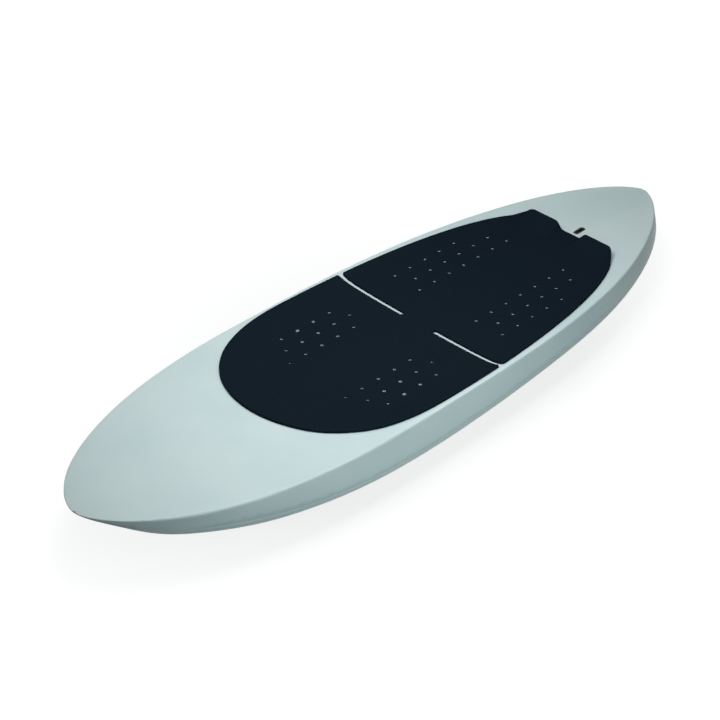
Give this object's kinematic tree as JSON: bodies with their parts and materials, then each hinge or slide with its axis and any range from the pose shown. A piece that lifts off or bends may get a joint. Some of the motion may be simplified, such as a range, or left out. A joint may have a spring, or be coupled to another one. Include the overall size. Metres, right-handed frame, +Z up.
{
  "type": "wing foil board",
  "caption": "Foam-cored board with a foam deck pad, tail kick, footstrap inserts, a leash plug, and underneath foil tracks with sliding nuts, a carry handle and a vent.",
  "frame": {"origin": "under the middle of the board, on the plane of its flat bottom", "axes": "+X to the nose, +Y to port, +Z up from the bottom to the deck"},
  "size_m": [1.4408, 0.469, 0.1339],
  "materials": {
    "hull": "satin sprayed paint over glass and foam sandwich",
    "core_foam": "expanded polystyrene beads",
    "hard_foam": "high-density structural foam",
    "deck_foam": "closed-cell foam sheet with a fine embossed grain",
    "kick_foam": "closed-cell foam",
    "insert_plastic": "moulded",
    "black_plastic": "moulded, lightly textured",
    "steel": "satin stainless steel",
    "grip_rubber": "ribbed soft rubber",
    "membrane": "porous film",
    "ring_rubber": "smooth",
    "vent_plastic": "moulded"
  },
  "bodies": {
    "board": {"deck_skin": "hull", "bottom_skin": "hull", "eps_core": "core_foam", "foil_box_block": "hard_foam", "insert_block_front_left": "hard_foam", "insert_block_front_right": "hard_foam", "insert_block_rear_left": "hard_foam", "insert_block_rear_right": "hard_foam", "leash_block": "hard_foam", "handle_block": "hard_foam", "stringer_left": "hard_foam", "stringer_right": "hard_foam", "deck_pad": "deck_foam", "kick_wedge_left": "kick_foam", "kick_wedge_right": "kick_foam", "insert_plugs_front_left": "insert_plastic", "insert_plugs_front_right": "insert_plastic", "insert_plugs_rear_left": "insert_plastic", "insert_plugs_rear_right": "insert_plastic", "leash_plug_cup": "black_plastic", "leash_plug_bar": "steel", "foil_track_left": "black_plastic", "foil_track_right": "black_plastic", "handle_tray": "black_plastic", "handle_bar": "black_plastic", "handle_grip": "grip_rubber", "handle_screws": "steel", "vent_housing": "black_plastic", "vent_membrane": "membrane", "vent_o_ring": "ring_rubber", "vent_cap": "vent_plastic"},
    "nut_front_left": {"track_nut_front_left": "steel"},
    "nut_front_right": {"track_nut_front_right": "steel"},
    "nut_rear_left": {"track_nut_rear_left": "steel"},
    "nut_rear_right": {"track_nut_rear_right": "steel"}
  },
  "joints": [
    {"name": "nut_front_left_slide", "type": "slide", "parent": "board", "child": "nut_front_left", "axis": [1, 0, 0], "range_m": [-0.07, 0.07]},
    {"name": "nut_front_right_slide", "type": "slide", "parent": "board", "child": "nut_front_right", "axis": [1, 0, 0], "range_m": [-0.07, 0.07]},
    {"name": "nut_rear_left_slide", "type": "slide", "parent": "board", "child": "nut_rear_left", "axis": [1, 0, 0], "range_m": [-0.07, 0.07]},
    {"name": "nut_rear_right_slide", "type": "slide", "parent": "board", "child": "nut_rear_right", "axis": [1, 0, 0], "range_m": [-0.07, 0.07]}
  ]
}
